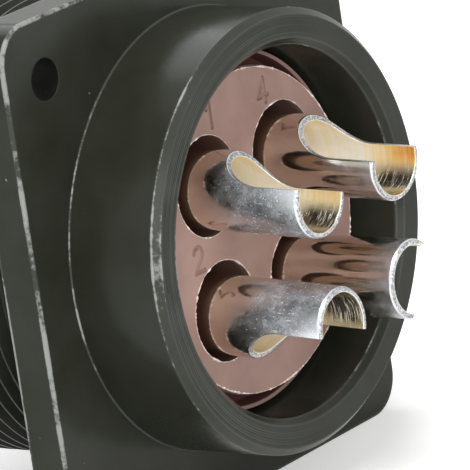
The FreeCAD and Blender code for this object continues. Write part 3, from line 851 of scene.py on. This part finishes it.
# noises are laid on the place itself, along the cup or on its turned rings, and are given by seed, size in
# millimetres, detail, roughness and mask. Scratches, specks, strokes, rings and pits are two to four times
# as coarse as the real ones, which wouldn't show.
silverLook = {
    "plate": "#dfd6c7", "dull": "#e8ecf2", "tarnish": "#cfd3d8", "cut": "#828286", "edgeHighlight": "#e4e4e6",
    "mark": "#ffffff", "cream": "#fffefb", "warm": "#fbe9c2", "gold": "#fde3a2", "orange": "#f09c38",
    "trough": "#d3cab4",
    "roughness": 0.11, "dullRoughness": 0.20, "hazeRoughness": 0.30, "haze": 0.28, "markRoughness": 0.5,
    "insideRoughness": 0.52, "troughRoughness": 0.16, "cutRoughness": 0.38,
    "hollowFoot": 4.3, "troughDepth": (10.5, 12.3), "gildedDepth": (9.8, 12.8), "scorchedDepth": (12.2, 14.4),
    "dulled": {1: (5.2, 10.6), 2: (5.2, 10.8), 3: (10.2, 17.0), 4: (8.0, 18.0)},
    "gilding": {1: 0.8, 2: 0.9, 3: 0.5, 4: 1.0},
    "scorching": {1: 0.0, 2: 0.15, 3: 0.1, 4: 1.0},
    "troughFrom": {1: -0.15, 2: 0.28, 3: -0.15, 4: -0.34},
    "radianMm": 0.14, "alongRadianMm": 3.0, "alongStretch": 0.12,
    "noises": {
        "cloud": ("place", 0.0, 1.6, 4.0, 0.6, ()),
        "patches": ("place", 5.0, 1.1, 6.0, 0.72, (0.30, 0.68)),
        "scratches": ("along", 9.0, 0.14, 2.0, 0.6, (0.64, 0.70, 0.0, 0.6)),
        "specks": ("place", 12.0, 0.15, 2.0, 0.6, (0.60, 0.68, 0.0, 0.6)),
        "streaks": ("turned", 30.0, 0.2, 3.0, 0.6, ()),
        "strokes": ("turned", 20.0, 0.065, 1.0, 0.5, (0.56, 0.70, 0.0, 0.65)),
        "cutSpecks": ("place", 2.0, 0.14, 3.0, 0.7, (0.44, 0.60, 0.0, 0.85)),
    },
    "ringMm": 0.13, "ringDepthMm": 0.0012, "boreRingDepthMm": 0.018, "strokeDepthMm": 0.008,
    "pitMm": 0.13, "pitDepthMm": 0.007, "cutPitDepthMm": 0.012,
}


def makeSilver(number, s=contactSizes, look=silverLook):
    # silver plate on a turned copper alloy: a warm mirror towards its root, dulled and scratched towards
    # its open end, cream to gold inside the cup where the plate is thin, with the boring tool's rings
    material, add, place = newMaterial(f"silverPlate{number}")
    # patterns are drawn as they lay before the cup leaned
    leaned = add("MapRange", [add("SeparateXYZ", [place]).outputs[1], -s["hinge"], -s["end"]])
    across, up = s["lean"][number]
    leaned = add("VectorMath", {0: (across, 0, up), "Scale": leaned}, "SCALE")
    place = add("VectorMath", [place, leaned], "SUBTRACT")
    centre = contactPlaces(rearSizes["pitch"])[number]
    radius, depth, angle, turned = turnedPlace(add, place, centre, look["radianMm"])
    along = add("CombineXYZ", [
        add("Math", [angle, look["alongRadianMm"]], "MULTIPLY"),
        add("Math", [depth, -look["alongStretch"]], "MULTIPLY")])
    spaces = {"place": place, "along": along, "turned": turned}
    found = {}
    for name, (space, seed, sizeMm, detail, coarse, mask) in look["noises"].items():
        found[name] = add("TexNoise", [spaces[space], (number + seed) / mm, 1 / sizeMm, detail, coarse],
                          noise_dimensions="4D")
        if mask:
            found[name] = add("MapRange", [found[name], *mask])
    # where the bore and the cut face are
    bore, cup = s["bore"], s["cup"]
    behind = add("MapRange", [depth, look["hollowFoot"], look["hollowFoot"] + 0.4])
    hollow = add("MapRange", [radius, bore + 0.01, bore + 0.06, 1.0, 0.0])
    inside = add("Math", [hollow, behind], "MULTIPLY")
    cut = add("MapRange", [radius, cup - 0.08, cup - 0.03, 1.0, 0.0])
    cut = add("Math", [cut, hollow], "SUBTRACT")
    cut = add("Math", [cut, behind], "MULTIPLY")
    # how far round from the open side, -1 at the bottom of the trough
    facing = add("Math", [angle, math.radians(s["turn"][number])], "SUBTRACT")
    facing = add("Math", [facing], "COSINE")
    high = look["troughFrom"][number]
    trough = inside
    for source, mask in ((facing, (high + 0.1, high - 0.35)), (depth, look["troughDepth"])):
        mask = add("MapRange", [source, *mask])
        trough = add("Math", [trough, mask], "MULTIPLY")
    # outside: the dulled stretch, its fine bright specks and the scratches along the cup
    spread = add("MapRange", [depth, *look["dulled"][number]])
    dulled = add("Math", [found["cloud"], spread], "ADD")
    dulled = add("MapRange", [dulled, 0.75, 1.25])
    marked = add("Math", [found["scratches"], found["specks"]], "MAXIMUM")
    marked = add("Math", [marked, spread], "MULTIPLY")
    dull = add("Mix", {0: found["patches"], 6: look["tarnish"], 7: look["dull"]}, data_type="RGBA")
    outer = add("Mix", {0: dulled, 6: look["plate"], 7: dull}, data_type="RGBA")
    outer = add("Mix", {0: marked, 6: outer, 7: look["mark"]}, data_type="RGBA")
    # inside: warm towards the opening, gilded and scorched towards the end, and brushed along the trough with
    # white strokes that are partly painted glints
    streaks = found["streaks"]
    warmth = add("Math", [add("MapRange", [facing, -0.1, 1.1]),
                          add("MapRange", [streaks, 0.3, 0.7, -0.18, 0.18])], "ADD")
    gilded = add("Math", [add("MapRange", [depth, *look["gildedDepth"]]),
                          add("MapRange", [streaks, 0.3, 0.7, -0.3, 0.3])], "ADD")
    gilded = add("Math", [gilded, look["gilding"][number]], "MULTIPLY")
    scorched = look["scorching"][number]
    for source, mask in ((depth, look["scorchedDepth"]), (streaks, (0.3, 0.6, 0.35, 1.0)),
                         (facing, (-0.45, -0.05))):
        mask = add("MapRange", [source, *mask])
        scorched = add("Math", [scorched, mask], "MULTIPLY")
    # the strokes are real tool marks, and their white is partly painted glints
    strokes = add("MapRange", [trough, 0.0, 0.35])
    strokes = add("Math", [found["strokes"], strokes], "MULTIPLY")
    inner = look["cream"]
    for amount, tone in ((warmth, "warm"), (gilded, "gold"), (scorched, "orange"), (trough, "trough"),
                         (strokes, "mark")):
        inner = add("Mix", {0: amount, 6: inner, 7: look[tone]}, data_type="RGBA")
    # the cut face has a painted highlight, a bright band along both its edges, and coarse specks between them
    offCentre = add("Math", [radius, (bore + cup) / 2], "SUBTRACT")
    offCentre = add("Math", [offCentre], "ABSOLUTE")
    edgeHighlightsAndSpecks = add("MapRange", [offCentre, (cup - bore) * 0.32, (cup - bore) * 0.42])
    edgeHighlightsAndSpecks = add("Math", [found["cutSpecks"], edgeHighlightsAndSpecks], "MAXIMUM")
    cutFace = add("Mix", {0: edgeHighlightsAndSpecks, 6: look["cut"], 7: look["edgeHighlight"]}, data_type="RGBA")
    colour = add("Mix", {0: inside, 6: outer, 7: inner}, data_type="RGBA")
    colour = add("Mix", {0: cut, 6: colour, 7: cutFace}, data_type="RGBA")
    # dulled plate is milky: less of a metal and rougher
    haze = add("Math", [dulled, found["patches"]], "MULTIPLY")
    milky = add("Math", [haze, look["haze"]], "MULTIPLY")
    milky = add("Math", [milky, marked], "MAXIMUM")
    outside = add("Math", [inside, cut], "MAXIMUM")
    outside = add("Math", [1.0, outside], "SUBTRACT")
    milky = add("Math", [milky, outside], "MULTIPLY")
    metal = add("Math", [1.0, milky], "SUBTRACT")
    hazed = look["hazeRoughness"] - look["dullRoughness"]
    rough = add("MapRange", [dulled, 0.0, 1.0, look["roughness"], look["dullRoughness"]])
    rough = add("Math", [haze, hazed, rough], "MULTIPLY_ADD")
    scratched = add("Math", [marked, look["markRoughness"]], "MULTIPLY")
    rough = add("Math", [rough, scratched], "MAXIMUM")
    bored = add("MapRange", [trough, 0.0, 1.0, look["insideRoughness"], look["troughRoughness"]])
    brushed = add("Math", [strokes, look["markRoughness"]], "MULTIPLY")
    bored = add("Math", [bored, brushed], "MAXIMUM")
    rough = add("Mix", [inside, None, rough, bored])
    sawn = add("Math", [cut, look["cutRoughness"]], "MULTIPLY")
    rough = add("Math", [rough, sawn], "MAXIMUM")
    # relief in millimetres: the boring tool's rings, the strokes, and pits in the dulled and cut faces
    ringed = add("MapRange", [depth, 10.0, 12.0, 0.1, 0.4])
    ringed = add("Math", [inside, ringed], "MULTIPLY")
    ringed = add("Math", [ringed, trough], "MAXIMUM")
    ringed = add("MapRange", [ringed, 0.0, 1.0, look["ringDepthMm"], look["boreRingDepthMm"]])
    rings = add("TexNoise", [turned, 2.0 / mm, 1 / look["ringMm"], 2.0, 0.6], noise_dimensions="4D")
    pits = add("TexNoise", [place, 6.0 / mm, 1 / look["pitMm"], 3.0, 0.7], noise_dimensions="4D")
    pitted = add("Math", [cut, look["cutPitDepthMm"]], "MULTIPLY")
    pitted = add("Math", [dulled, look["pitDepthMm"], pitted], "MULTIPLY_ADD")
    height = 0.0
    for pattern, deep in ((rings, ringed), (strokes, look["strokeDepthMm"]), (pits, pitted)):
        height = add("Math", [pattern, deep, height], "MULTIPLY_ADD")
    add("OutputMaterial", [add("BsdfPrincipled", {
        "Base Color": colour, "Metallic": metal, "Roughness": rough,
        "Normal": add("Bump", {"Height": height, "Distance": mm})})])
    return material


# steps of a cup's mesh: round its end face, down the flat of its scoop, which starts with close ones,
# and from the cut edge down to the plain tube
cupSteps = {"end": 36, "close": (0.017, 0.034, 0.051), "flat": 9, "arc": 26, "down": 14}


def cutOutline(s, gap, radius, endGap, endRadius):
    # the edge that the scoop leaves on a tube of one radius, lowered by gap into the metal, from the back
    # of the end face to the middle of the scoop, as (height, side, depth) with height towards the opening
    level, high = s["cut"] - gap, s["end"] - endGap
    bevelled = s["cup"] - s["endBevel"]
    points = []
    corner = math.acos(level / endRadius)
    for step in range(cupSteps["end"] + 1):
        a = math.pi + (corner - math.pi) * step / cupSteps["end"]
        points.append((endRadius * math.cos(a), endRadius * math.sin(a), high))
    close = cupSteps["close"]
    rest = [close[-1] + (1 - close[-1]) * step / cupSteps["flat"] for step in range(1, cupSteps["flat"] + 1)]
    for part in [*close, *rest]:
        depth = high + (s["flatFoot"] - high) * part
        slope = bevelled + (s["end"] - depth) * s["endBevel"] / s["endBevelLength"]
        reach = min(radius, slope)
        points.append((level, math.sqrt(reach * reach - level * level), depth))
    # the arc's steps are shared between even angles of the sweep and even angles of the tube
    reach, centre = s["sweep"] + gap, s["cut"] + s["sweep"]
    corner = math.acos(level / radius)
    heights = []
    last = math.acos((centre - radius) / reach)
    for step in range(1, cupSteps["arc"]):
        part = step / cupSteps["arc"]
        heights.append(centre - reach * math.cos(last * part))
        heights.append(radius * math.cos(corner * (1 - part)))
    for h in sorted(heights) + [radius]:
        side = math.sqrt(max(0.0, radius * radius - h * h))
        points.append((h, side, s["flatFoot"] - math.sqrt(max(0.0, reach * reach - (centre - h) ** 2))))
    return points


def tubeWall(bm, rim, foot, mirror):
    # the wall of the cup below its cut edge: full height behind the end face, columns under the scoop
    corner, down = cupSteps["end"], cupSteps["down"]
    flatEnd = corner + len(cupSteps["close"]) + cupSteps["flat"]
    depths = [rim[k][2] for k in range(corner, flatEnd + 1)]
    start = depths[-1]
    depths += [start + (foot - start) * step / down for step in range(1, down + 1)]
    patch(bm, [[(h, mirror * side, depth) for h, side, _ in rim[:corner + 1]] for depth in depths])
    columns = rim[flatEnd:]
    patch(bm, [[(h, mirror * side, depth + (foot - depth) * step / down) for h, side, depth in columns]
               for step in range(down + 1)])
    return rim[:corner + 1] + columns[1:]


def makeContact(number, material, s=contactSizes):
    bm = bmesh.new()
    edge = s["edge"]
    rounds = [(edge * (1 - math.sin(math.radians(a))), edge * (1 - math.cos(math.radians(a))))
              for a in (0, 30, 60, 90)]
    bevels = [(s["endBevelLength"] * (1 - part), s["endBevel"] * part) for part in (0, 0.33, 0.67, 1)]
    rows = [cutOutline(s, gap, s["cup"] - inset, endGap, s["cup"] - endInset)
            for (gap, inset), (endGap, endInset) in zip(rounds, bevels)]
    for part in (0.25, 0.5, 0.75):
        inner, outer = s["bore"] + edge, s["cup"] - edge
        rows.append(cutOutline(s, 0, outer + (inner - outer) * part, 0,
                               s["cup"] - s["endBevel"] + (inner - s["cup"] + s["endBevel"]) * part))
    rows += [cutOutline(s, gap, s["bore"] + inset, gap, s["bore"] + inset) for gap, inset in reversed(rounds)]
    outerFoot, innerFoot = 4.4, 6.4
    for mirror in (1, -1):
        patch(bm, [[(h, mirror * side, depth) for h, side, depth in row] for row in rows])
        outer = tubeWall(bm, rows[0], outerFoot, mirror)
        inner = tubeWall(bm, rows[-1], innerFoot, mirror)
    # the plain turned lengths below, on the same columns
    def columnAngles(ring):
        half = [math.atan2(side, h) for h, side, _ in ring]
        return half + [-a for a in reversed(half[1:-1])]
    lathe(bm, roundedPath([
        (s["cup"], outerFoot, 0), (s["cup"], s["joint"], 0), (s["collar"], s["joint"], 0.1),
        (s["collar"], s["collarFoot"], 0.1), (s["shank"], s["collarFoot"], 0),
        (s["shank"], s["noseFace"], 0.05),
        (s["pin"], s["noseFace"], 0), (s["pin"], s["pinTip"] + s["pinPoint"], s["noseRadius"]),
        (s["tip"], s["pinTip"], 0.25), (0, s["pinTip"], 0)], 6), columnAngles(outer))
    lathe(bm, roundedPath([(s["bore"], innerFoot, 0), (s["bore"], s["boreFoot"], 0.15),
                           (0, s["drillPoint"], 0)]), columnAngles(inner))
    closeMesh(bm)
    # the mesh has its opening along x: turn it to this contact's own angle and set it in its hole
    x, y = contactPlaces(rearSizes["pitch"])[number]
    bmesh.ops.transform(bm, matrix=Matrix.Translation((x, y, 0)) @
                        Matrix.Rotation(math.radians(s["turn"][number]), 4, "Z"), verts=bm.verts)
    # behind its bore each cup leans a little in the soft insert
    for vert in bm.verts:
        part = max(0.0, vert.co.z - s["hinge"]) / (s["end"] - s["hinge"])
        vert.co.xy += Vector(s["lean"][number]) * part
    item = benchObject(f"contactPin{number}", bm)
    finishPiece(item, material, [f"contact_{number}"])


springSteel = makeSpringSteel()
makeShell(makePlating())
makeRearInsert(makeRubber())
makeFlash()
makeFrontInsert(makeResin())
makeWasher(springSteel)
makeSnapRing(springSteel)
for number in contactPlaces(rearSizes["pitch"]):
    makeContact(number, makeSilver(number))
print("pieces made")


# Floor, light and camera

# places are in metres, and each lamp is a round softbox with its place, diameter, power and colour
stageLook = {
    "floor": "#f4f4f2", "floorRoughness": 0.8, "floorSheen": 0.2, "floorGlow": 0.45, "floorReach": 3.0,
    "world": 0.32,
    "lamps": {
        "keySoftbox": ((-0.66, -0.80, 0.27), 0.8, 5.9, (1.0, 1.0, 1.0)),
        "topSoftbox": ((-0.32, -0.22, 0.85), 0.5, 6.0, (1.0, 1.0, 1.0)),
        "backSoftbox": ((0.41, 0.60, 0.70), 0.6, 1.8, (0.92, 0.96, 1.0)),
    },
    "lens": 456.65, "sensor": 36.0, "cameraPlace": (-0.3370, -0.2661, 0.1109),
    "cameraRight": (0.5796, -0.8020, -0.1444), "cameraBack": (-0.7623, -0.5962, 0.2519),
}


def seenPart(add):
    # 1 in what the camera sees, straight on or through a reflection, and 0 in the light on other things
    rays = add("LightPath").outputs
    seen = add("Math", [rays["Is Camera Ray"], rays["Is Glossy Ray"]], "MAXIMUM")
    return add("Math", [seen, rays["Is Transmission Ray"]], "MAXIMUM")


def makeFloor(look=stageLook):
    # matt white paper, lit a little from behind
    material, add, _ = newMaterial("paperFloor")
    glow = add("Math", [seenPart(add), look["floorGlow"]], "MULTIPLY")
    add("OutputMaterial", [add("BsdfPrincipled", {
        "Base Color": look["floor"], "Roughness": look["floorRoughness"],
        "Specular IOR Level": look["floorSheen"],
        "Emission Color": "#ffffff", "Emission Strength": glow})])
    mesh = bpy.data.meshes.new("paperFloor")
    far, z = look["floorReach"], cadBox[0].z
    mesh.from_pydata([(-far, -far, z), (far, -far, z), (far, far, z), (-far, far, z)], [], [(0, 1, 2, 3)])
    mesh.materials.append(material)
    floor = bpy.data.objects.new("paperFloor", mesh)
    bpy.context.scene.collection.objects.link(floor)


def makeWorld(look=stageLook):
    world = bpy.data.worlds.new("studio")
    bpy.context.scene.world = world
    world.use_nodes = True
    world.node_tree.nodes.clear()
    add = functools.partial(addNode, world.node_tree)
    strength = add("MapRange", [seenPart(add), 0.0, 1.0, look["world"], 1.0])
    add("OutputWorld", [add("Background", {"Color": "#ffffff", "Strength": strength})])


def addLamp(name, place, size, power, colour):
    lamp = bpy.data.lights.new(name, "AREA")
    lamp.shape, lamp.size, lamp.energy, lamp.color = "DISK", size, power, colour
    item = bpy.data.objects.new(name, lamp)
    item.location = place
    item.rotation_euler = (-Vector(place)).to_track_quat("-Z", "Y").to_euler()
    bpy.context.scene.collection.objects.link(item)


def makeCamera(look=stageLook):
    # a long lens from the left, above and behind the panel, as the photograph was taken
    lens = bpy.data.cameras.new("camera")
    lens.lens, lens.sensor_width = look["lens"], look["sensor"]
    lens.clip_start, lens.clip_end = 0.01, 20.0
    item = bpy.data.objects.new("camera", lens)
    back = Vector(look["cameraBack"]).normalized()
    up = back.cross(Vector(look["cameraRight"]).normalized()).normalized()
    turned = Matrix((up.cross(back), up, back)).transposed().to_4x4()
    item.matrix_world = Matrix.Translation(look["cameraPlace"]) @ turned
    bpy.context.scene.collection.objects.link(item)
    bpy.context.scene.camera = item


makeFloor()
makeWorld()
for name, settings in stageLook["lamps"].items():
    addLamp(name, *settings)
makeCamera()
bpy.context.scene.view_settings.view_transform = "Standard"
print("stage set")
